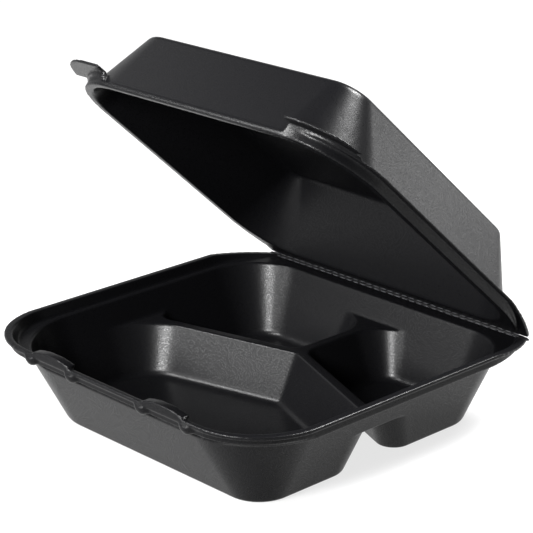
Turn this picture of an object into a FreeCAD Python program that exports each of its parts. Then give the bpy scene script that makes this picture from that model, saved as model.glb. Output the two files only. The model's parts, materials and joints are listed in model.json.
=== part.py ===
import FreeCAD, Part
import math
import os
import Sketcher

# Foam clamshell container: a three-compartment tray and its lid, thermoformed as one sheet
# and joined along the back by a moulded fold.
# Frame: origin at the bottom centre of the tray, +X to the right, +Y to the fold at the back,
# +Z up. The lid is drawn in a frame of its own whose origin lies on the fold, and its
# placement turns it open.

doc = FreeCAD.newDocument("foam_clamshell")
sheet = doc.addObject("Spreadsheet::Sheet", "sizes")

DIMENSIONS = {
    # foam
    "foam": 2.2,
    "wall": 2.5,
    # heights of the tray
    "rim_top": 44.7,
    "flange_underside": 42.7,
    "ledge_top": 39.5,
    "ridge_top": 27.0,
    # inner faces of the tray: place at the height of the table, and lean outwards per mm
    "floor_half_width": 79.0,
    "side_lean": 0.468,
    "floor_front": 72.7,
    "front_lean": 0.526,
    "floor_back": 75.6,
    "back_lean": 0.365,
    # corners of the tray in plan: outer radius at the table and its growth per mm of height
    "front_left_corner": 30.0,
    "front_left_corner_growth": 0.54,
    "front_right_corner": 17.0,
    "front_right_corner_growth": 0.6,
    "back_corner": 20.0,
    "back_corner_growth": 0.36,
    # dividers: a Y of two arms to the sides and one to the back
    "junction_x": 3.0,
    "junction_y": 25.2,
    "left_arm_angle": 13.8,
    "right_arm_angle": 21.0,
    "ridge_depth": 5.4,
    "ridge_lean": 0.5,
    "back_arm_x": 1.0,
    "back_arm_half_top": 2.6,
    "left_arm_corner": 22.0,
    "left_arm_corner_growth": 0.45,
    "right_arm_corner": 12.0,
    "right_arm_corner_growth": 0.5,
    "back_arm_corner": 12.0,
    "back_arm_corner_growth": 0.3,
    "small_corner": 7.0,
    "small_corner_growth": 0.1,
    "floor_fillet": 5.0,
    "foot_fillet": 2.5,
    # rim of the tray
    "flange_half_width": 106.5,
    "flange_front": 99.0,
    "flange_front_corner": 40.0,
    "riser_half_width": 103.3,
    "riser_front": 97.4,
    "riser_corner": 39.0,
    "riser_underside": 39.3,
    "recess_half_width": 101.0,
    "recess_lean": 0.25,
    "recess_corner": 38.0,
    "rear_round_centre_x": 36.5,
    "rear_round_centre_y": 59.5,
    # fold
    "hinge_y": 99.0,
    "hinge_gap": 0.3,
    "rim_slope_length": 36.0,
    "rim_slope_end": 0.5,
    "fold_foam": 1.2,
    # latch domes on the front rim, and the lugs below it
    "dome_start": 28.0,
    "dome_end": 56.5,
    "dome_height": 2.8,
    "dome_end_height": 1.1,
    "dome_front_inset": 0.4,
    "dome_depth": 5.0,
    "inner_lug_place": 26.5,
    "outer_lug_place": 58.5,
    "lug_radius": 4.75,
    "lug_reach": 3.0,
    # lid, along its own width, length from the fold and height above its lip
    "lid_open_angle": 42.5,
    "lid_clearance": 0.3,
    "lid_height": 39.6,
    "lid_half_width": 97.5,
    "lid_side_lean": 0.553,
    "lid_front": 191.5,
    "lid_front_lean": 0.343,
    "lid_back": 6.5,
    "lid_back_lean": 0.67,
    "lid_front_corner": 38.0,
    "lid_front_top_corner": 14.0,
    "lid_back_corner": 33.0,
    "lid_back_top_corner": 7.0,
    "lid_top_fillet": 4.5,
    "lid_ceiling_fillet": 3.5,
    "lid_lip_half_width": 99.6,
    "lid_lip_front": 192.2,
    "lid_lip_corner": 38.0,
    "lid_lip_height": 2.7,
    "lid_flange_half_width": 102.8,
    "lid_flange_corner": 39.0,
    "lid_flange_round_centre_x": 5.7,
    "lid_flange_thickness": 1.2,
    # raised flange at the lid's two front corners, and the opening between them
    "raised_flange_left": 106.5,
    "raised_flange_right": 103.6,
    "raised_flange_front": 196.5,
    "raised_flange_left_corner": 26.0,
    "raised_flange_right_corner": 35.0,
    "raised_flange_lift": 2.0,
    "raised_flange_thickness": 1.4,
    "raised_flange_end": 184.0,
    "raised_slope_end": 166.0,
    "latch_opening_left": 65.5,
    "latch_opening_left_slant": 5.5,
    "latch_opening_right": 64.0,
    "latch_opening_right_slant": 0.5,
}

for row, (alias, number) in enumerate(DIMENSIONS.items(), start=1):
    sheet.set(f"A{row}", alias.replace("_", " "))
    sheet.set(f"B{row}", str(number))
    sheet.setAlias(f"B{row}", alias)
doc.recompute()


def size(alias):
    """The expression that reads one cell of the sheet."""
    return f"sizes.{alias}"


def value(expression):
    """The number that an expression gives now, used to start a sketch near its solution."""
    return float(sheet.evalExpression(expression))


def origin_plane(body, role):
    """One of the body's own origin planes."""
    return next(feature for feature in body.Origin.OriginFeatures if feature.Role == role)


def new_sketch(body, name, role, offset):
    """An empty sketch on an origin plane of the body, moved along its normal by an expression."""
    sketch = body.newObject("Sketcher::SketchObject", name)
    sketch.AttachmentSupport = [(origin_plane(body, role), "")]
    sketch.MapMode = "FlatFace"
    sketch.setExpression("AttachmentOffset.Base.z", offset)
    return sketch


def bind(sketch, constraint, name, expression):
    """Add a named constraint to a sketch and tie it to an expression."""
    index = sketch.addConstraint(constraint)
    sketch.renameConstraint(index, name)
    sketch.setExpression(f"Constraints.{name}", expression)


def bind_point(sketch, geometry, end, name, x, y):
    """Place one point of a sketch by two expressions measured from the sketch's origin."""
    across = Sketcher.Constraint("DistanceX", -1, 1, geometry, end, value(x))
    along = Sketcher.Constraint("DistanceY", -1, 1, geometry, end, value(y))
    bind(sketch, across, f"{name}_x", x)
    bind(sketch, along, f"{name}_y", y)


def rounded_outline(body, name, height, corners):
    """A closed convex outline with rounded corners on a level plane.

    Each corner is (x, y, radius), three expressions, anticlockwise from the front left.
    """
    sketch = new_sketch(body, name, "XY_Plane", height)
    count = len(corners)
    points = [FreeCAD.Vector(value(x), value(y), 0) for x, y, radius in corners]
    radii = [value(radius) for x, y, radius in corners]
    leave = []
    arrive = []
    centres = []
    for index, point in enumerate(points):
        before = (points[index - 1] - point).normalize()
        after = (points[(index + 1) % count] - point).normalize()
        half = before.getAngle(after) / 2
        reach = radii[index] / math.tan(half)
        arrive.append(point + before * reach)
        leave.append(point + after * reach)
        middle = (before + after).normalize()
        centres.append(point + middle * (radii[index] / math.sin(half)))
    up = FreeCAD.Vector(0, 0, 1)
    for index in range(count):
        sketch.addGeometry(Part.LineSegment(leave[index], arrive[(index + 1) % count]), False)
    for index in range(count):
        start = arrive[index] - centres[index]
        finish = leave[index] - centres[index]
        circle = Part.Circle(centres[index], up, radii[index])
        first = math.atan2(start.y, start.x)
        last = math.atan2(finish.y, finish.x)
        sketch.addGeometry(Part.ArcOfCircle(circle, first, last), False)
    for point in points:
        sketch.addGeometry(Part.Point(point), True)
    for index, (x, y, radius) in enumerate(corners):
        line_before = (index - 1) % count
        arc = count + index
        corner = 2 * count + index
        sketch.addConstraint(Sketcher.Constraint("Tangent", line_before, 2, arc, 1))
        sketch.addConstraint(Sketcher.Constraint("Tangent", arc, 2, index, 1))
        sketch.addConstraint(Sketcher.Constraint("PointOnObject", corner, 1, index))
        sketch.addConstraint(Sketcher.Constraint("PointOnObject", corner, 1, line_before))
        bind_point(sketch, corner, 1, f"corner_{index}", x, y)
        bind(sketch, Sketcher.Constraint("Radius", arc, radii[index]), f"radius_{index}", radius)
    return sketch


def polygon(body, name, role, offset, corners):
    """A closed outline of straight sides through corners given by expressions."""
    sketch = new_sketch(body, name, role, offset)
    count = len(corners)
    points = [FreeCAD.Vector(value(x), value(y), 0) for x, y in corners]
    for index in range(count):
        sketch.addGeometry(Part.LineSegment(points[index], points[(index + 1) % count]), False)
    for index in range(count):
        following = (index + 1) % count
        sketch.addConstraint(Sketcher.Constraint("Coincident", index, 2, following, 1))
    for index, (x, y) in enumerate(corners):
        bind_point(sketch, index, 1, f"corner_{index}", x, y)
    return sketch


def loft(body, kind, name, lower, upper):
    """A straight-sided loft between two outlines, added to the body or cut from it."""
    feature = body.newObject(f"PartDesign::{kind}Loft", name)
    feature.Profile = lower
    feature.Sections = [upper]
    feature.Ruled = True
    return feature


def pad(body, name, sketch, length):
    """Thicken an outline upwards."""
    feature = body.newObject("PartDesign::Pad", name)
    feature.Profile = sketch
    feature.setExpression("Length", length)
    return feature


def cut_both_ways(body, name, sketch, length):
    """Cut an outline through the body, half of the length to each side of its plane."""
    feature = body.newObject("PartDesign::Pocket", name)
    feature.Profile = sketch
    feature.SideType = "Symmetric"
    feature.setExpression("Length", length)
    return feature


def mirror_across_middle(body, name, originals):
    """Repeat features on the other side of the container's middle plane."""
    feature = body.newObject("PartDesign::Mirrored", name)
    feature.Originals = originals
    feature.MirrorPlane = (origin_plane(body, "YZ_Plane"), [""])
    body.Tip = feature
    return feature


def fillet_outline(body, name, outline, radius):
    """Round the edges of the body's last feature that run along one of its outlines."""
    doc.recompute()
    base = body.Tip
    names = []
    for number, edge in enumerate(base.Shape.Edges, start=1):
        middle = edge.valueAt((edge.FirstParameter + edge.LastParameter) / 2)
        if outline.Shape.distToShape(Part.Vertex(middle))[0] < 0.001:
            names.append(f"Edge{number}")
    feature = body.newObject("PartDesign::Fillet", name)
    feature.Base = (base, names)
    feature.setExpression("Radius", radius)
    return feature


class TrayOutlines:
    """Outlines of the tray's hollows at a height, or of its outside when grown by the wall."""

    def __init__(self, height, grow):
        self.height = height
        self.grow = grow
        self.side = f"({size('floor_half_width')} + {size('side_lean')} * {height} + {grow})"
        self.front = f"(-{size('floor_front')} - {size('front_lean')} * {height} - {grow})"
        self.back = f"({size('floor_back')} + {size('back_lean')} * {height} + {grow})"
        below = f"({size('ridge_top')} - {height})"
        lean = f"{size('ridge_lean')} * {below}"
        self.near = f"({size('junction_y')} - {lean} + {grow})"
        self.far = f"({size('junction_y')} + {size('ridge_depth')} + {lean} - {grow})"
        half_arm = f"({size('back_arm_half_top')} + {lean} - {grow})"
        self.arm_left = f"({size('back_arm_x')} - {half_arm})"
        self.arm_right = f"({size('back_arm_x')} + {half_arm})"
        change = f"- {size('wall')} + {grow}"
        self.front_left_corner = self.radius("front_left_corner", change)
        self.front_right_corner = self.radius("front_right_corner", change)
        self.back_corner = self.radius("back_corner", change)
        self.left_arm_corner = self.radius("left_arm_corner", f"+ {grow}")
        self.right_arm_corner = self.radius("right_arm_corner", f"+ {grow}")
        self.back_arm_corner = self.radius("back_arm_corner", f"+ {grow}")
        self.small_corner = self.radius("small_corner", f"+ {grow}")

    def radius(self, alias, change):
        """A corner radius at this height."""
        return f"({size(alias)} + {size(alias + '_growth')} * {self.height} {change})"

    def on_left_arm(self, edge, x):
        """Where an edge of the left arm passes a place across the tray."""
        reach = f"({size('junction_x')} - {x})"
        return f"({edge} - tan({size('left_arm_angle')}) * {reach})"

    def on_right_arm(self, edge, x):
        """Where an edge of the right arm passes a place across the tray."""
        reach = f"({x} - {size('junction_x')})"
        return f"({edge} - tan({size('right_arm_angle')}) * {reach})"

    def whole(self):
        """The whole tray, above its dividers."""
        return [
            (f"-{self.side}", self.front, self.front_left_corner),
            (self.side, self.front, self.front_right_corner),
            (self.side, self.back, self.back_corner),
            (f"-{self.side}", self.back, self.back_corner),
        ]

    def front_compartment(self):
        """The large compartment at the front."""
        return [
            (f"-{self.side}", self.front, self.front_left_corner),
            (self.side, self.front, self.front_right_corner),
            (self.side, self.on_right_arm(self.near, self.side), self.right_arm_corner),
            (size("junction_x"), self.near, self.small_corner),
            (f"-{self.side}", self.on_left_arm(self.near, f"(-{self.side})"), self.left_arm_corner),
        ]

    def left_compartment(self):
        """The small compartment at the back left."""
        return [
            (f"-{self.side}", self.on_left_arm(self.far, f"(-{self.side})"), self.small_corner),
            (self.arm_left, self.on_left_arm(self.far, self.arm_left), self.small_corner),
            (self.arm_left, self.back, self.back_arm_corner),
            (f"-{self.side}", self.back, self.back_corner),
        ]

    def right_compartment(self):
        """The small compartment at the back right."""
        return [
            (self.arm_right, self.on_right_arm(self.far, self.arm_right), self.small_corner),
            (self.side, self.on_right_arm(self.far, self.side), self.small_corner),
            (self.side, self.back, self.back_corner),
            (self.arm_right, self.back, self.back_arm_corner),
        ]

    def compartments(self):
        """All three, by name."""
        return {
            "front": self.front_compartment(),
            "left": self.left_compartment(),
            "right": self.right_compartment(),
        }


def rim_outline(half_width, front, front_corner):
    """An outline of the tray's rim. Its sides run past the fold, which is cut afterwards."""
    round_radius = f"({half_width} - {size('rear_round_centre_x')})"
    back = f"({size('rear_round_centre_y')} + {round_radius})"
    return [
        (f"-{half_width}", f"-{front}", front_corner),
        (half_width, f"-{front}", front_corner),
        (half_width, back, round_radius),
        (f"-{half_width}", back, round_radius),
    ]


def cut_under_flange(body, name, underside, underside_at_fold, fold, front, below):
    """Clear the foam below a rim's flange, whose underside is level and then falls to the fold."""
    beyond = f"(2 * {front})"
    slope_start = f"({fold} - {size('rim_slope_length')})"
    corners = [
        (f"-{beyond}", below),
        (fold, below),
        (fold, underside_at_fold),
        (slope_start, underside),
        (f"-{beyond}", underside),
    ]
    sketch = polygon(body, f"{name}_side", "YZ_Plane", "0", corners)
    cut_both_ways(body, name, sketch, f"4 * {size('flange_half_width')}")


def build_tray():
    """The tray: three feet, their compartments, a ledge for the lid, and the rim."""
    body = doc.addObject("PartDesign::Body", "base_tray")
    body.Label = "base_tray"
    wall = size("wall")
    roof = f"({size('ridge_top')} - {size('foam')})"
    ledge_underside = f"({size('ledge_top')} - {size('foam')})"

    flange = rim_outline(
        size("flange_half_width"), size("flange_front"), size("flange_front_corner")
    )
    flange_sketch = rounded_outline(body, "flange_outline", ledge_underside, flange)
    pad(body, "flange", flange_sketch, f"{size('rim_top')} - {ledge_underside}")
    slope_end = f"({size('ledge_top')} + {size('rim_slope_end')})"
    cut_under_flange(
        body,
        "flange_hollow",
        size("flange_underside"),
        f"({slope_end} - {size('fold_foam')})",
        size("hinge_y"),
        size("flange_front"),
        roof,
    )

    upper_low = rounded_outline(body, "upper_low", roof, TrayOutlines(roof, wall).whole())
    shell = TrayOutlines(ledge_underside, wall).whole()
    upper_high = rounded_outline(body, "upper_high", ledge_underside, shell)
    loft(body, "Additive", "upper_walls", upper_low, upper_high)
    foot_low = TrayOutlines("0", wall).compartments()
    foot_high = TrayOutlines(roof, wall).compartments()
    for name in foot_low:
        low = rounded_outline(body, f"foot_{name}_low", "0", foot_low[name])
        high = rounded_outline(body, f"foot_{name}_high", roof, foot_high[name])
        loft(body, "Additive", f"foot_{name}", low, high)
        fillet_outline(body, f"foot_{name}_rounding", low, size("foot_fillet"))

    ledge_front = f"({size('floor_front')} + {size('front_lean')} * {size('ledge_top')})"
    ledge = rim_outline(size("riser_half_width"), ledge_front, size("riser_corner"))
    ledge_sketch = rounded_outline(body, "ledge_outline", ledge_underside, ledge)
    pad(body, "ledge", ledge_sketch, size("foam"))
    riser = rim_outline(size("riser_half_width"), size("riser_front"), size("riser_corner"))
    riser_sketch = rounded_outline(body, "riser_outline", size("riser_underside"), riser)
    pad(body, "riser", riser_sketch, f"{size('rim_top')} - {size('riser_underside')}")

    floor = TrayOutlines(size("foam"), "0").compartments()
    top = TrayOutlines(size("ridge_top"), "0").compartments()
    for name in floor:
        low = rounded_outline(body, f"{name}_floor", size("foam"), floor[name])
        high = rounded_outline(body, f"{name}_mouth", size("ridge_top"), top[name])
        loft(body, "Subtractive", f"{name}_compartment", low, high)
        fillet_outline(body, f"{name}_floor_rounding", low, size("floor_fillet"))

    bowl_low = TrayOutlines(size("ridge_top"), "0")
    bowl_high = TrayOutlines(size("ledge_top"), "0")
    low = rounded_outline(body, "bowl_low", size("ridge_top"), bowl_low.whole())
    high = rounded_outline(body, "bowl_high", size("ledge_top"), bowl_high.whole())
    loft(body, "Subtractive", "bowl", low, high)

    rise = f"({size('rim_top')} - {size('ledge_top')})"
    recess_top = TrayOutlines(size("rim_top"), "0")
    recess_half_top = f"({size('recess_half_width')} + {size('recess_lean')} * {rise})"
    low_front = f"(-{bowl_high.front})"
    high_front = f"(-{recess_top.front})"
    recess_low = rim_outline(size("recess_half_width"), low_front, size("recess_corner"))
    recess_high = rim_outline(recess_half_top, high_front, size("recess_corner"))
    low = rounded_outline(body, "recess_low", size("ledge_top"), recess_low)
    high = rounded_outline(body, "recess_high", size("rim_top"), recess_high)
    loft(body, "Subtractive", "lid_recess", low, high)

    far = f"({size('hinge_y')} + {size('flange_half_width')})"
    wide = f"(2 * {size('flange_half_width')})"
    edge = f"({size('hinge_y')} - {size('hinge_gap')} / 2)"
    behind = [(f"-{wide}", edge), (wide, edge), (wide, far), (f"-{wide}", far)]
    fold_sketch = polygon(body, "fold_edge", "XY_Plane", "0", behind)
    cut_both_ways(body, "fold_cut", fold_sketch, f"4 * {size('rim_top')}")
    slope_start = f"({size('hinge_y')} - {size('rim_slope_length')})"
    above = f"(2 * {size('rim_top')})"
    wedge = [
        (slope_start, size("rim_top")),
        (size("hinge_y"), slope_end),
        (size("hinge_y"), above),
        (slope_start, above),
    ]
    wedge_sketch = polygon(body, "rim_slope_side", "YZ_Plane", "0", wedge)
    cut_both_ways(body, "rim_slope", wedge_sketch, f"2 * {wide}")
    add_latch_domes(body)
    add_lugs(body)
    return body


def add_latch_domes(body):
    """Two crowned domes on the front rim that the lid snaps behind."""
    front = f"(-{size('flange_front')} + {size('dome_front_inset')})"
    back = f"({front} + {size('dome_depth')})"
    crown = f"({size('rim_top')} + {size('dome_height')})"
    shoulder = f"({size('rim_top')} + {size('dome_end_height')})"
    root = size("flange_underside")
    wall_face = f"(-{size('floor_front')} - {size('front_lean')} * {root} - {size('wall')} / 2)"
    section = [
        (front, root),
        (wall_face, root),
        (back, size("rim_top")),
        (back, crown),
        (front, crown),
    ]
    sketch = polygon(body, "dome_section", "YZ_Plane", size("dome_start"), section)
    length = f"({size('dome_end')} - {size('dome_start')})"
    dome = pad(body, "dome", sketch, length)

    crown_sketch = new_sketch(body, "dome_crown", "XZ_Plane", "0")
    left = value(size("dome_start"))
    right = value(size("dome_end"))
    high = value(crown)
    low = value(shoulder)
    roof = value(f"{crown} + {size('dome_height')}")
    middle = (left + right) / 2
    arc = Part.Arc(
        FreeCAD.Vector(right, low, 0), FreeCAD.Vector(middle, high, 0), FreeCAD.Vector(left, low, 0)
    )
    crown_sketch.addGeometry(arc, False)
    crown_sketch.addGeometry(
        Part.LineSegment(FreeCAD.Vector(left, low, 0), FreeCAD.Vector(left, roof, 0)), False
    )
    crown_sketch.addGeometry(
        Part.LineSegment(FreeCAD.Vector(left, roof, 0), FreeCAD.Vector(right, roof, 0)), False
    )
    crown_sketch.addGeometry(
        Part.LineSegment(FreeCAD.Vector(right, roof, 0), FreeCAD.Vector(right, low, 0)), False
    )
    crown_sketch.addGeometry(Part.Point(FreeCAD.Vector(middle, high, 0)), True)
    crown_sketch.addConstraint(Sketcher.Constraint("Coincident", 0, 2, 1, 1))
    crown_sketch.addConstraint(Sketcher.Constraint("Coincident", 1, 2, 2, 1))
    crown_sketch.addConstraint(Sketcher.Constraint("Coincident", 2, 2, 3, 1))
    crown_sketch.addConstraint(Sketcher.Constraint("Coincident", 3, 2, 0, 1))
    crown_sketch.addConstraint(Sketcher.Constraint("PointOnObject", 4, 1, 0))
    centre = f"(({size('dome_start')} + {size('dome_end')}) / 2)"
    top = f"({crown} + {size('dome_height')})"
    bind_point(crown_sketch, 1, 1, "inner_shoulder", size("dome_start"), shoulder)
    bind_point(crown_sketch, 2, 1, "inner_top", size("dome_start"), top)
    bind_point(crown_sketch, 3, 1, "outer_top", size("dome_end"), top)
    bind_point(crown_sketch, 3, 2, "outer_shoulder", size("dome_end"), shoulder)
    bind_point(crown_sketch, 4, 1, "crown", centre, crown)
    crowning = cut_both_ways(body, "dome_crowning", crown_sketch, f"4 * {size('flange_front')}")
    mirror_across_middle(body, "dome_pair", [dome, crowning])


def add_lugs(body):
    """Four half-round lugs that hang below the front rim, past the ends of the domes."""
    lugs = []
    for place in ("inner_lug_place", "outer_lug_place"):
        lug = body.newObject("PartDesign::AdditiveEllipsoid", place.replace("_place", ""))
        lug.AttachmentSupport = [(origin_plane(body, "XY_Plane"), "")]
        lug.MapMode = "FlatFace"
        lug.Angle1 = -90
        lug.Angle2 = 0
        lug.setExpression("Radius1", size("lug_radius"))
        lug.setExpression("Radius2", size("lug_radius"))
        lug.setExpression("Radius3", size("lug_reach"))
        lug.setExpression("AttachmentOffset.Base.x", size(place))
        lug.setExpression("AttachmentOffset.Base.y", f"-{size('riser_front')}")
        lug.setExpression("AttachmentOffset.Base.z", size("flange_underside"))
        lugs.append(lug)
    mirror_across_middle(body, "lug_pairs", lugs)


def lid_outline(height, shrink):
    """The lid's outer walls at a height above its lip, or its hollow when shrunk by the wall."""
    side = f"({size('lid_half_width')} - {size('lid_side_lean')} * {height} - {shrink})"
    front = f"(-{size('lid_front')} + {size('lid_front_lean')} * {height} + {shrink})"
    back = f"(-{size('lid_back')} - {size('lid_back_lean')} * {height} - {shrink})"
    share = f"({height} / {size('lid_height')})"
    corners = {}
    for end in ("front", "back"):
        start = size(f"lid_{end}_corner")
        change = f"({size(f'lid_{end}_top_corner')} - {start})"
        corners[end] = f"({start} + {change} * {share} - {shrink})"
    return [
        (f"-{side}", front, corners["front"]),
        (side, front, corners["front"]),
        (side, back, corners["back"]),
        (f"-{side}", back, corners["back"]),
    ]


def lid_rim_outline(half_width, front, corner, round_centre_x):
    """An outline of the lid's rim, with rear rounds beside those of the tray."""
    round_radius = f"({half_width} - {round_centre_x})"
    centre = f"({size('rear_round_centre_y')} - {size('hinge_y')})"
    back = f"({centre} + {round_radius})"
    return [
        (f"-{half_width}", f"-{front}", corner),
        (half_width, f"-{front}", corner),
        (half_width, back, round_radius),
        (f"-{half_width}", back, round_radius),
    ]


def build_lid():
    """The lid: a deep tray turned over, with a lip that sits in the tray's rim."""
    body = doc.addObject("PartDesign::Body", "lid")
    body.Label = "lid"
    lip = size("lid_clearance")
    seat = f"({size('rim_top')} - {size('ledge_top')} + {lip})"
    rim_high = f"({seat} + {size('lid_flange_thickness')})"

    groove_floor = f"({lip} + {size('foam')})"
    raised = f"({seat} + {size('raised_flange_lift')})"
    raised_high = f"({raised} + {size('raised_flange_thickness')})"
    far = size("flange_half_width")
    wide = f"(2 * {size('flange_half_width')})"

    flange = lid_rim_outline(
        size("lid_flange_half_width"),
        size("lid_lip_front"),
        size("lid_flange_corner"),
        size("lid_flange_round_centre_x"),
    )
    flange_sketch = rounded_outline(body, "lid_flange_outline", lip, flange)
    pad(body, "lid_flange", flange_sketch, f"{rim_high} - {lip}")
    cut_under_flange(
        body,
        "lid_flange_hollow",
        seat,
        f"({lip} + {size('rim_slope_end')})",
        "0",
        size("raised_flange_front"),
        f"(-{rim_high})",
    )
    raised_left = f"(-{size('raised_flange_left')})"
    raised_front = f"(-{size('raised_flange_front')})"
    raised_corner = size("raised_flange_right_corner")
    raised_back = f"({raised_front} / 2)"
    raised_flange = [
        (raised_left, raised_front, size("raised_flange_left_corner")),
        (size("raised_flange_right"), raised_front, raised_corner),
        (size("raised_flange_right"), raised_back, raised_corner),
        (raised_left, raised_back, raised_corner),
    ]
    raised_sketch = rounded_outline(body, "raised_flange_outline", raised, raised_flange)
    pad(body, "raised_flange", raised_sketch, size("raised_flange_thickness"))
    lip_outline = lid_rim_outline(
        size("lid_lip_half_width"),
        size("lid_lip_front"),
        size("lid_lip_corner"),
        size("rear_round_centre_x"),
    )
    lip_sketch = rounded_outline(body, "lip_outline", lip, lip_outline)
    pad(body, "lip", lip_sketch, f"{raised_high} - {lip}")
    over = f"(2 * {raised_high})"
    raised_end = f"(-{size('raised_flange_end')})"
    shoulder = [
        (raised_end, raised_high),
        (f"(-{size('raised_slope_end')})", rim_high),
        (far, rim_high),
        (far, over),
        (raised_end, over),
    ]
    shoulder_sketch = polygon(body, "shoulder_side", "YZ_Plane", "0", shoulder)
    cut_both_ways(body, "shoulders", shoulder_sketch, f"2 * {wide}")

    groove_half = f"({size('lid_lip_half_width')} - {size('wall')})"
    groove_front = f"({size('lid_lip_front')} - {size('wall')})"
    groove_corner = f"({size('lid_lip_corner')} - {size('wall')})"
    groove = lid_rim_outline(
        groove_half, groove_front, groove_corner, size("rear_round_centre_x")
    )
    low = rounded_outline(body, "groove_low", groove_floor, groove)
    high = rounded_outline(body, "groove_high", f"{raised_high} + {size('foam')}", groove)
    loft(body, "Subtractive", "rim_groove", low, high)

    left = f"(-{size('latch_opening_left')})"
    right = size("latch_opening_right")
    lip_high = f"({lip} + {size('lid_lip_height')})"
    beyond = f"({raised_high} + {size('foam')})"
    opening = [
        (left, lip_high),
        (right, lip_high),
        (f"({right} + {size('latch_opening_right_slant')})", beyond),
        (f"({left} - {size('latch_opening_left_slant')})", beyond),
    ]
    far_front = f"({size('raised_flange_front')} + {size('wall')})"
    opening_sketch = polygon(body, "latch_opening_face", "XZ_Plane", far_front, opening)
    opening_cut = body.newObject("PartDesign::Pocket", "latch_opening")
    opening_cut.Profile = opening_sketch
    opening_cut.setExpression("Length", f"{far_front} - {groove_front} + {size('lid_lip_corner')}")

    edge = f"(-{size('hinge_gap')} / 2)"
    behind = [(f"-{wide}", edge), (wide, edge), (wide, far), (f"-{wide}", far)]
    fold_sketch = polygon(body, "lid_fold_edge", "XY_Plane", "0", behind)
    cut_both_ways(body, "lid_fold_cut", fold_sketch, f"4 * {size('lid_height')}")
    slope_start = f"(-{size('rim_slope_length')})"
    slope_end = f"({groove_floor} + {size('rim_slope_end')})"
    above = f"(2 * {rim_high})"
    wedge = [(slope_start, rim_high), ("0", slope_end), ("0", above), (slope_start, above)]
    wedge_sketch = polygon(body, "lid_slope_side", "YZ_Plane", "0", wedge)
    cut_both_ways(body, "lid_rim_slope", wedge_sketch, f"2 * {wide}")

    low = rounded_outline(body, "lid_low", lip, lid_outline(lip, "0"))
    high = rounded_outline(body, "lid_high", size("lid_height"), lid_outline(size("lid_height"), "0"))
    loft(body, "Additive", "lid_walls", low, high)
    fillet_outline(body, "lid_top_rounding", high, size("lid_top_fillet"))
    ceiling = f"({size('lid_height')} - {size('foam')})"
    low = rounded_outline(body, "hollow_low", lip, lid_outline(lip, size("wall")))
    high = rounded_outline(body, "hollow_high", ceiling, lid_outline(ceiling, size("wall")))
    loft(body, "Subtractive", "lid_hollow", low, high)
    fillet_outline(body, "ceiling_rounding", high, size("lid_ceiling_fillet"))

    turned = FreeCAD.Rotation(FreeCAD.Vector(-1, 0, 0), value(size("lid_open_angle")))
    body.Placement = FreeCAD.Placement(FreeCAD.Vector(0, 0, 0), turned)
    body.setExpression("Placement.Rotation.Angle", size("lid_open_angle"))
    body.setExpression("Placement.Base.y", size("hinge_y"))
    body.setExpression("Placement.Base.z", size("ledge_top"))
    return body


bodies = [build_tray(), build_lid()]
doc.recompute()

for item in doc.Objects:
    if "Invalid" in item.State or "Error" in item.State:
        raise RuntimeError(f"{item.Label} did not build: {item.State}")

os.makedirs("parts", exist_ok=True)
for body in bodies:
    if body.Shape.isNull() or not body.Shape.isValid():
        raise RuntimeError(f"{body.Label} has no valid shape")
    box = body.Shape.BoundBox
    print(
        f"{body.Label}: {len(body.Shape.Solids)} solid, {body.Shape.Volume / 1000:.1f} cm3, "
        f"x {box.XMin:.1f} to {box.XMax:.1f}, y {box.YMin:.1f} to {box.YMax:.1f}, "
        f"z {box.ZMin:.1f} to {box.ZMax:.1f}"
    )
    body.Shape.exportStep(f"parts/{body.Label}.step")
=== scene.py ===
"""Foam clamshell container: the looks of the open three-compartment box."""

import json
import logging
import math
from dataclasses import dataclass
from enum import Enum
from typing import Any

import bpy
from mathutils import Matrix, Vector


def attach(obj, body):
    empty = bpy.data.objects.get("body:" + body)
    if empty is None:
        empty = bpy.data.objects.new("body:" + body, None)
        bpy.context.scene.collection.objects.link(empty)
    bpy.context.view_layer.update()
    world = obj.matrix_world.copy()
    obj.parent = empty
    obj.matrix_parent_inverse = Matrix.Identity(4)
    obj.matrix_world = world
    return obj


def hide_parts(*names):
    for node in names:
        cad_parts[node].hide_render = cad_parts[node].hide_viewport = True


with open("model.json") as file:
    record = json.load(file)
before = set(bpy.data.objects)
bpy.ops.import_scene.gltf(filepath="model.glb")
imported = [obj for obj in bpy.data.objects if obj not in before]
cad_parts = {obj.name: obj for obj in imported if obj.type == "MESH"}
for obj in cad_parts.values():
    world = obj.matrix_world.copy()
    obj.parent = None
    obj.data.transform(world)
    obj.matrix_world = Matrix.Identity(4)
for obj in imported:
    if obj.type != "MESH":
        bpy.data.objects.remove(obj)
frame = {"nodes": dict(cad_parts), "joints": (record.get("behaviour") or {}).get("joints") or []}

log = logging.getLogger("clamshell")
MM = 0.001
PICTURE_WIDTH = 533
WHITE = "#ffffff"


class Part(Enum):
    """The two leaves of the moulding, by the names of their bodies."""

    TRAY = "base_tray"
    LID = "lid"


def linear(hex_colour: str) -> tuple[float, float, float, float]:
    """Turn an sRGB hex colour into the linear colour that a shader takes.

    Args:
        hex_colour: Six hex digits after a hash sign.

    Returns:
        Linear red, green, blue and an alpha of 1.
    """
    digits = hex_colour.lstrip("#")
    channels = [int(digits[place:place + 2], 16) / 255 for place in (0, 2, 4)]
    straight = [c / 12.92 if c <= 0.04045 else ((c + 0.055) / 1.055) ** 2.4 for c in channels]
    return (*straight, 1.0)


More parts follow.
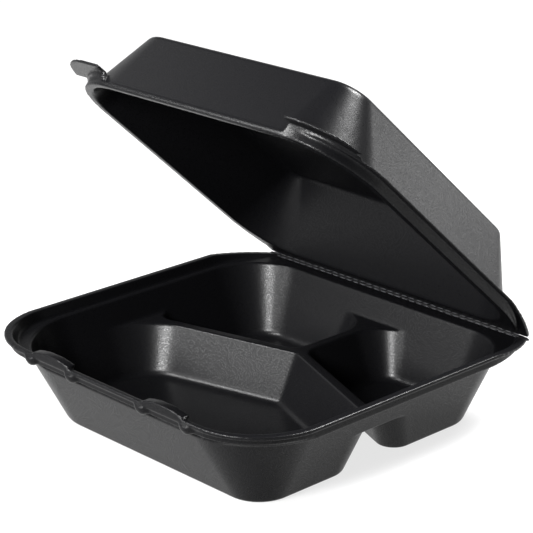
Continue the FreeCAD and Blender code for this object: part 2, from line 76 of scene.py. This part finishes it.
def add_node(tree: bpy.types.NodeTree, kind: str, settings: dict[str, Any] | None = None,
             inputs: dict[Any, Any] | None = None) -> bpy.types.Node:
    """Add a shader node with its settings, values and links.

    Args:
        tree: The material's node tree.
        kind: The node's type, such as ShaderNodeBump.
        settings: Properties of the node by name.
        inputs: For each input, a socket to link from or a plain value.

    Returns:
        The new node.
    """
    node = tree.nodes.new(kind)
    for name, setting in (settings or {}).items():
        setattr(node, name, setting)
    for name, source in (inputs or {}).items():
        if isinstance(source, bpy.types.NodeSocket):
            tree.links.new(source, node.inputs[name])
        else:
            node.inputs[name].default_value = source
    return node


def choose(piece: bpy.types.Object) -> None:
    """Make one object the only one selected, and the active one.

    Args:
        piece: The object to work on.
    """
    bpy.ops.object.select_all(action="DESELECT")
    piece.select_set(True)
    bpy.context.view_layer.objects.active = piece


@dataclass(frozen=True)
class PressedFoam:
    """Black expanded polystyrene sheet, thermoformed between warm moulds.

    The sheet's skin is smooth with a low satin sheen. The beads under it show as a fine
    mottled grain that breaks up the highlights, and their skins as slow changes in sheen.
    """

    name: str = "pressed_polystyrene_foam"
    colour: str = "#040405"
    grain_colour: str = "#0a0a0b"
    roughness: float = 0.31
    roughness_swing: float = 0.07
    specular: float = 0.1
    specular_swing: float = 0.05
    bead_mm: float = 0.55
    skin_mm: float = 18.0
    bead_depth_mm: float = 0.02
    bead_octaves: float = 2.0
    bead_raggedness: float = 0.6
    ripple_depth_mm: float = 0.03
    ripple_octaves: float = 2.0
    ripple_raggedness: float = 0.5
    noise_span: tuple[float, float] = (0.3, 0.7)

    def material(self) -> bpy.types.Material:
        """Build the foam's material.

        Returns:
            The material, on Object coordinates in metres.
        """
        material = bpy.data.materials.new(self.name)
        material.use_nodes = True
        tree = material.node_tree
        shader = tree.nodes["Principled BSDF"]
        place = add_node(tree, "ShaderNodeTexCoord").outputs["Object"]
        beads = add_node(tree, "ShaderNodeTexNoise", None, {
            "Vector": place, "Scale": 1 / (self.bead_mm * MM),
            "Detail": self.bead_octaves, "Roughness": self.bead_raggedness})
        skin = add_node(tree, "ShaderNodeTexNoise", None, {
            "Vector": place, "Scale": 1 / (self.skin_mm * MM),
            "Detail": self.ripple_octaves, "Roughness": self.ripple_raggedness})
        tint = add_node(tree, "ShaderNodeMix", {"data_type": "RGBA"}, {
            "Factor": beads.outputs["Fac"], "A": linear(self.colour), "B": linear(self.grain_colour)})
        sheen = self.swing(tree, beads, self.roughness, self.roughness_swing)
        glint = self.swing(tree, beads, self.specular, -self.specular_swing)
        ripple = add_node(tree, "ShaderNodeBump", None, {
            "Height": skin.outputs["Fac"], "Distance": self.ripple_depth_mm * MM, "Strength": 1.0})
        grain = add_node(tree, "ShaderNodeBump", None, {
            "Height": beads.outputs["Fac"], "Distance": self.bead_depth_mm * MM, "Strength": 1.0,
            "Normal": ripple.outputs["Normal"]})
        tree.links.new(tint.outputs["Result"], shader.inputs["Base Color"])
        tree.links.new(sheen.outputs["Result"], shader.inputs["Roughness"])
        tree.links.new(glint.outputs["Result"], shader.inputs["Specular IOR Level"])
        tree.links.new(grain.outputs["Normal"], shader.inputs["Normal"])
        return material

    def swing(self, tree: bpy.types.NodeTree, noise: bpy.types.Node, middle: float,
              reach: float) -> bpy.types.Node:
        """Turn the noise's usual span into a value that swings about a middle.

        Args:
            tree: The material's node tree.
            noise: The noise node.
            middle: The value where the noise is at its middle.
            reach: How far the value goes to each side.

        Returns:
            The node whose Result is the value.
        """
        least, most = self.noise_span
        return add_node(tree, "ShaderNodeMapRange", None, {
            "Value": noise.outputs["Fac"], "From Min": least, "From Max": most,
            "To Min": middle - reach, "To Max": middle + reach})


@dataclass
class FoamLeaf:
    """One leaf of the moulding, softened from its construction solid as warm foam is."""

    part: Part
    finish: bpy.types.Material
    joining_mm: float = 0.002
    grid_mm: float = 0.62
    softening: float = 0.5
    softening_rounds: int = 7
    most_triangles: int = 190_000

    def build(self) -> bpy.types.Object:
        """Model the leaf and put it on its body.

        Returns:
            The finished piece.
        """
        piece = self.copy_solid()
        self.soften(piece)
        self.thin_out(piece)
        self.shade(piece)
        piece.data.materials.clear()
        piece.data.materials.append(self.finish)
        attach(piece, self.part.value)
        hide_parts(self.part.value)
        return piece

    def copy_solid(self) -> bpy.types.Object:
        """Copy the construction solid as one joined skin.

        Returns:
            The copy, at the origin, selected and active.
        """
        solid = frame["nodes"][self.part.value]
        piece = bpy.data.objects.new(f"{self.part.value}_foam", solid.data.copy())
        bpy.context.scene.collection.objects.link(piece)
        choose(piece)
        bpy.ops.object.mode_set(mode="EDIT")
        bpy.ops.mesh.select_all(action="SELECT")
        bpy.ops.mesh.remove_doubles(threshold=self.joining_mm * MM)
        bpy.ops.object.mode_set(mode="OBJECT")
        return piece

    def soften(self, piece: bpy.types.Object) -> None:
        """Round every edge as the foam's own cells do.

        Args:
            piece: The leaf, still with sharp edges.
        """
        remesh = piece.modifiers.new("cells", "REMESH")
        remesh.mode = "VOXEL"
        remesh.voxel_size = self.grid_mm * MM
        bpy.ops.object.modifier_apply(modifier=remesh.name)
        smooth = piece.modifiers.new("softening", "SMOOTH")
        smooth.factor = self.softening
        smooth.iterations = self.softening_rounds
        bpy.ops.object.modifier_apply(modifier=smooth.name)

    def thin_out(self, piece: bpy.types.Object) -> None:
        """Join the small faces of flat stretches, and keep those of the curved ones.

        Args:
            piece: The softened leaf.
        """
        triangles = sum(len(face.vertices) - 2 for face in piece.data.polygons)
        fewer = piece.modifiers.new("fewer", "DECIMATE")
        fewer.ratio = min(1.0, self.most_triangles / triangles)
        bpy.ops.object.modifier_apply(modifier=fewer.name)
        log.info("%s: %d faces from %d triangles", piece.name, len(piece.data.polygons), triangles)

    def shade(self, piece: bpy.types.Object) -> None:
        """Shade the leaf smooth all over.

        Args:
            piece: The finished mesh.
        """
        choose(piece)
        bpy.ops.object.shade_smooth()


@dataclass
class Fold:
    """The pressed crease that joins the leaves, with a scored bead along each side of it.

    The web is a round bead on the hinge's axis, so that it fills the fold at every angle. Its
    profile gives places along the fold, as shares of its half length, and the share of the
    radius there. The beads are rows of short ridges, where the forming rule has pricked the
    foam, in a paler finish that paints the glint along them. Each row is placed by how far it
    lies from the axis towards the front, and above it, on its closed leaf.
    """

    finish: bpy.types.Material
    # Paler foam for the ridge rows: its lighter colour is a painted highlight, the glint along the
    # scored beads.
    painted_glint: bpy.types.Material
    web_radius_mm: float = 1.05
    web_profile: tuple[tuple[float, float], ...] = (
        (-1.0, 0.35), (-0.985, 0.8), (-0.95, 1.0), (0.95, 1.0), (0.985, 0.8), (1.0, 0.35))
    web_facets: int = 5
    half_length_mm: float = 95.4
    ridge_radius_mm: float = 0.30
    ridge_length_mm: float = 4.4
    ridge_pitch_mm: float = 5.2
    ridge_count: int = 35
    ridge_segments: int = 12
    ridge_rings: int = 8
    tray_row_mm: tuple[float, float] = (1.3, 0.02)
    lid_row_mm: tuple[float, float] = (2.4, 0.28)
    open_degrees: float = 42.5

    def build(self) -> None:
        """Model the web and the two rows of ridges, and put them on their bodies."""
        axis = Vector(frame["joints"][0]["pos_m"])
        self.finish_piece(self.web(axis), "fold_web", Part.TRAY, self.finish)
        turn = Matrix.Rotation(-math.radians(self.open_degrees), 3, "X")
        tray_row = axis + self.offset(self.tray_row_mm)
        lid_row = axis + turn @ self.offset(self.lid_row_mm)
        self.finish_piece(self.ridges(tray_row), "fold_beads_tray", Part.TRAY, self.painted_glint)
        self.finish_piece(self.ridges(lid_row), "fold_beads_lid", Part.LID, self.painted_glint)

    def offset(self, row_mm: tuple[float, float]) -> Vector:
        """Give a row's offset from the axis, on its leaf when closed.

        Args:
            row_mm: How far it lies towards the front, and above the axis.

        Returns:
            The offset in metres.
        """
        towards_front, above = row_mm
        return Vector((0, -towards_front, above)) * MM

    def web(self, axis: Vector) -> bpy.types.Object:
        """Model the web, thinner towards both ends of the fold.

        Args:
            axis: A point of the hinge's axis, midway along the fold.

        Returns:
            The web as a mesh on the hinge's axis.
        """
        curve = bpy.data.curves.new("fold_web", "CURVE")
        curve.dimensions = "3D"
        curve.bevel_depth = self.web_radius_mm * MM
        curve.bevel_resolution = self.web_facets
        curve.use_fill_caps = True
        spline = curve.splines.new("POLY")
        spline.points.add(len(self.web_profile) - 1)
        for point, (share, thickness) in zip(spline.points, self.web_profile):
            point.co = (share * self.half_length_mm * MM, 0, 0, 1)
            point.radius = thickness
        piece = bpy.data.objects.new("fold_web", curve)
        bpy.context.scene.collection.objects.link(piece)
        choose(piece)
        bpy.ops.object.convert(target="MESH")
        self.move_to(piece, axis)
        return piece

    def ridges(self, place: Vector) -> bpy.types.Object:
        """Model one row of ridges along the fold.

        Args:
            place: The middle of the row.

        Returns:
            The row as one mesh.
        """
        bpy.ops.mesh.primitive_uv_sphere_add(
            segments=self.ridge_segments, ring_count=self.ridge_rings, radius=1.0)
        piece = bpy.context.object
        half_length = self.ridge_length_mm / 2 * MM
        radius = self.ridge_radius_mm * MM
        piece.scale = (half_length, radius, radius)
        bpy.ops.object.transform_apply(location=False, rotation=False, scale=True)
        row = piece.modifiers.new("row", "ARRAY")
        row.count = self.ridge_count
        row.use_relative_offset = False
        row.use_constant_offset = True
        row.constant_offset_displace = (self.ridge_pitch_mm * MM, 0, 0)
        bpy.ops.object.modifier_apply(modifier=row.name)
        middle = (self.ridge_count - 1) / 2
        start = Vector((-middle * self.ridge_pitch_mm * MM, 0, 0))
        self.move_to(piece, place + start)
        return piece

    def move_to(self, piece: bpy.types.Object, place: Vector) -> None:
        """Move a piece's mesh and leave its object at the origin.

        Args:
            piece: The piece, modelled around the origin.
            place: Where its mesh goes.
        """
        choose(piece)
        piece.location = place
        bpy.ops.object.transform_apply(location=True, rotation=False, scale=False)

    def finish_piece(self, piece: bpy.types.Object, name: str, part: Part,
                     finish: bpy.types.Material) -> None:
        """Name, shade and dress a piece, and put it on its body.

        Args:
            piece: The mesh.
            name: Its name.
            part: The leaf that it moves with.
            finish: Its material.
        """
        piece.name = name
        choose(piece)
        bpy.ops.object.shade_smooth()
        piece.data.materials.clear()
        piece.data.materials.append(finish)
        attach(piece, part.value)


@dataclass(frozen=True)
class Softbox:
    """One soft rectangular light."""

    name: str
    at_mm: tuple[float, float, float]
    aim_mm: tuple[float, float, float]
    size_mm: tuple[float, float]
    watts: float

    def hang(self) -> None:
        """Hang the light and turn it to what it points at."""
        data = bpy.data.lights.new(self.name, "AREA")
        data.shape = "RECTANGLE"
        data.size = self.size_mm[0] * MM
        data.size_y = self.size_mm[1] * MM
        data.energy = self.watts
        lamp = bpy.data.objects.new(self.name, data)
        lamp.location = Vector(self.at_mm) * MM
        facing = Vector(self.at_mm) - Vector(self.aim_mm)
        lamp.rotation_euler = facing.to_track_quat("Z", "Y").to_euler()
        bpy.context.scene.collection.objects.link(lamp)


SOFTBOXES = (
    Softbox("front_softbox", (150, -1000, 620), (0, 30, 40), (320, 320), 40.0),
    Softbox("fill_softbox", (-500, -1100, 520), (0, 30, 40), (700, 500), 16.0),
    Softbox("left_softbox", (-1050, 60, 720), (0, 0, 100), (600, 600), 1.2),
    Softbox("top_softbox", (-420, -470, 760), (0, 0, 60), (300, 300), 16.0),
    Softbox("back_softbox", (300, 600, 1000), (0, 0, 150), (400, 400), 66.0),
    Softbox("far_softbox", (420, 1450, 200), (100, 0, 100), (700, 300), 3.0),
)


@dataclass
class Studio:
    """A plain pale floor, soft lights and the camera at the photograph's angle."""

    target_mm: tuple[float, float, float] = (-51.22, 54.82, 53.13)
    azimuth: float = 47.26
    elevation: float = 19.66
    roll: float = -0.79
    distance_mm: float = 1109.44
    focal_px: float = 2061.24
    sensor_mm: float = 36.0
    nearest_mm: float = 50.0
    backdrop_strength: float = 0.8
    backdrop_top: float = 0.15
    ceiling_strength: float = 0.04
    ceiling_bottom: float = 0.5
    floor_size_mm: float = 12_000.0
    floor_grey: float = 0.12
    floor_glow: float = 0.76
    floor_roughness: float = 0.9

    def build(self) -> None:
        """Make the floor, the lights and the camera."""
        bpy.context.scene.view_settings.view_transform = "Standard"
        self.floor()
        self.world()
        for softbox in SOFTBOXES:
            softbox.hang()
        self.camera()

    def floor(self) -> None:
        """Lay a large white floor under the container, lit from within like a light table."""
        bpy.ops.object.select_all(action="DESELECT")
        bpy.ops.mesh.primitive_plane_add(size=self.floor_size_mm * MM, location=(0, 0, 0))
        ground = bpy.context.object
        ground.name = "floor"
        material = bpy.data.materials.new("white_paper_sweep")
        material.use_nodes = True
        shader = material.node_tree.nodes["Principled BSDF"]
        shader.inputs["Base Color"].default_value = (*[self.floor_grey] * 3, 1.0)
        shader.inputs["Roughness"].default_value = self.floor_roughness
        shader.inputs["Specular IOR Level"].default_value = 0.0
        shader.inputs["Emission Color"].default_value = linear(WHITE)
        shader.inputs["Emission Strength"].default_value = self.floor_glow
        ground.data.materials.append(material)

    def world(self) -> None:
        """Light the white backdrop all round, and leave the ceiling dim."""
        world = bpy.data.worlds.new("studio")
        bpy.context.scene.world = world
        world.use_nodes = True
        tree = world.node_tree
        place = add_node(tree, "ShaderNodeTexCoord").outputs["Generated"]
        height = add_node(tree, "ShaderNodeSeparateXYZ", None, {"Vector": place}).outputs["Z"]
        strength = add_node(tree, "ShaderNodeMapRange", {"interpolation_type": "SMOOTHSTEP"}, {
            "Value": height, "From Min": self.backdrop_top, "From Max": self.ceiling_bottom,
            "To Min": self.backdrop_strength, "To Max": self.ceiling_strength})
        background = tree.nodes["Background"]
        background.inputs["Color"].default_value = linear(WHITE)
        tree.links.new(strength.outputs["Result"], background.inputs["Strength"])

    def camera(self) -> None:
        """Place the camera where the photograph was taken from."""
        azimuth = math.radians(self.azimuth)
        elevation = math.radians(self.elevation)
        roll = math.radians(self.roll)
        back = Vector((math.sin(azimuth) * math.cos(elevation),
                       -math.cos(azimuth) * math.cos(elevation), math.sin(elevation)))
        right = Vector((math.cos(azimuth), math.sin(azimuth), 0))
        up = back.cross(right)
        right_rolled = right * math.cos(roll) + up * math.sin(roll)
        up_rolled = up * math.cos(roll) - right * math.sin(roll)
        place = (Vector(self.target_mm) + back * self.distance_mm) * MM
        data = bpy.data.cameras.new("photo_camera")
        data.sensor_width = self.sensor_mm
        data.lens = self.focal_px / PICTURE_WIDTH * self.sensor_mm
        data.clip_start = self.nearest_mm * MM
        camera = bpy.data.objects.new("photo_camera", data)
        turn = Matrix((right_rolled, up_rolled, back)).transposed().to_4x4()
        camera.matrix_world = Matrix.Translation(place) @ turn
        bpy.context.scene.collection.objects.link(camera)
        bpy.context.scene.camera = camera


def main() -> None:
    """Build the container's looks and the studio around it."""
    logging.basicConfig(level=logging.INFO, format="%(name)s: %(message)s")
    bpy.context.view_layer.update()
    foam = PressedFoam().material()
    for part in Part:
        piece = FoamLeaf(part, foam).build()
        log.info("built %s", piece.name)
    # The ridge rows' paler colour and grain paint the glint along the fold's scored beads.
    painted_glint = PressedFoam("creased_foam", colour="#1c1c1e", grain_colour="#404042", roughness=0.3)
    Fold(foam, painted_glint.material()).build()
    Studio().build()


if __name__ == "__main__":
    main()
